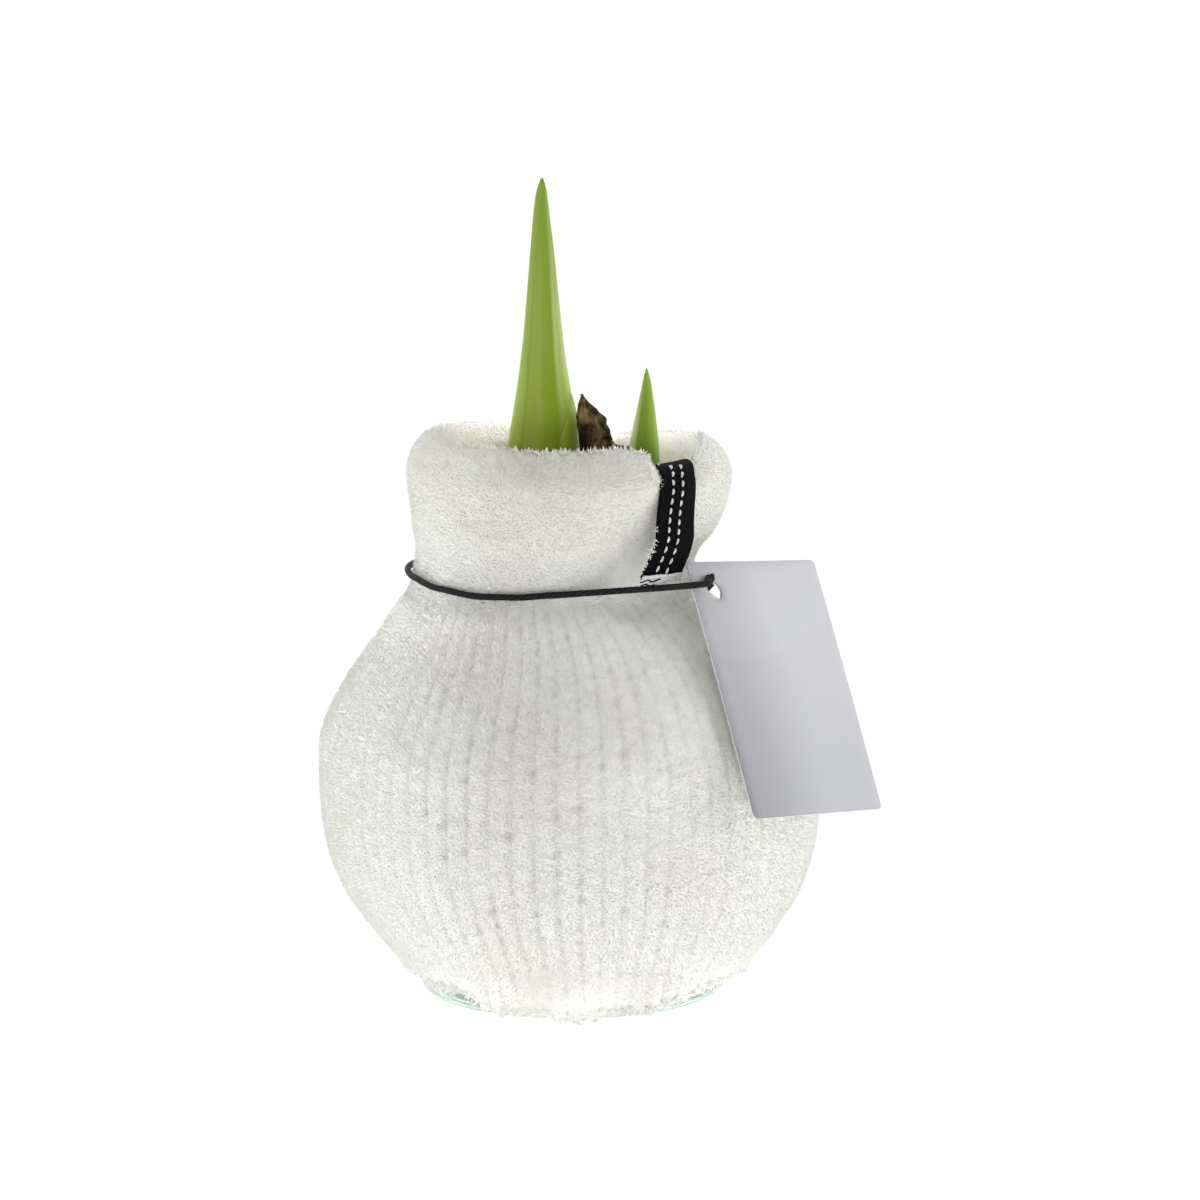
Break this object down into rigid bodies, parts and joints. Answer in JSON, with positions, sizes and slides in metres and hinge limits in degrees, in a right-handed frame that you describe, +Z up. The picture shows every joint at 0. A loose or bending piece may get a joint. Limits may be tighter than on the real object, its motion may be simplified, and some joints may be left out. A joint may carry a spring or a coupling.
{
  "type": "potted amaryllis",
  "caption": "Sprouting amaryllis bulb in a round necked glass bulb vase dressed in a fluffy knitted sleeve, with a gathering elastic, a plain card hang tag and a woven label ribbon.",
  "frame": {"origin": "centre of the vase's flat foot, on the surface that it stands on", "axes": "+Z up along the vase, -Y towards the side where the elastic leaves the neck for the tag, +X towards the side that the tag lies on"},
  "size_m": [0.1675, 0.1498, 0.2438],
  "materials": {
    "vase_glass": "polished",
    "knit": "matte",
    "label_ribbon": "matte",
    "elastic": "matte",
    "tag_card": "satin",
    "bulb_skin": "matte",
    "root": "matte",
    "dry_scale": "matte",
    "leaf": "satin",
    "leaf_sheath": "satin",
    "young_leaf": "satin"
  },
  "bodies": {
    "root": {"glass_vase": "vase_glass", "knit_sleeve": "knit", "knit_collar": "knit", "label_ribbon": "label_ribbon", "neck_elastic": "elastic", "elastic_knot": "elastic", "hang_tag": "tag_card", "bulb": "bulb_skin", "basal_plate_and_roots": "root", "neck_scale_front": "dry_scale", "neck_scale_back": "dry_scale", "bud_spathe": "leaf", "shoot_leaf_left": "leaf", "shoot_leaf_right": "leaf", "shoot_sheath": "leaf_sheath", "side_shoot_leaf": "young_leaf", "side_shoot_sheath": "young_leaf"}
  },
  "joints": []
}
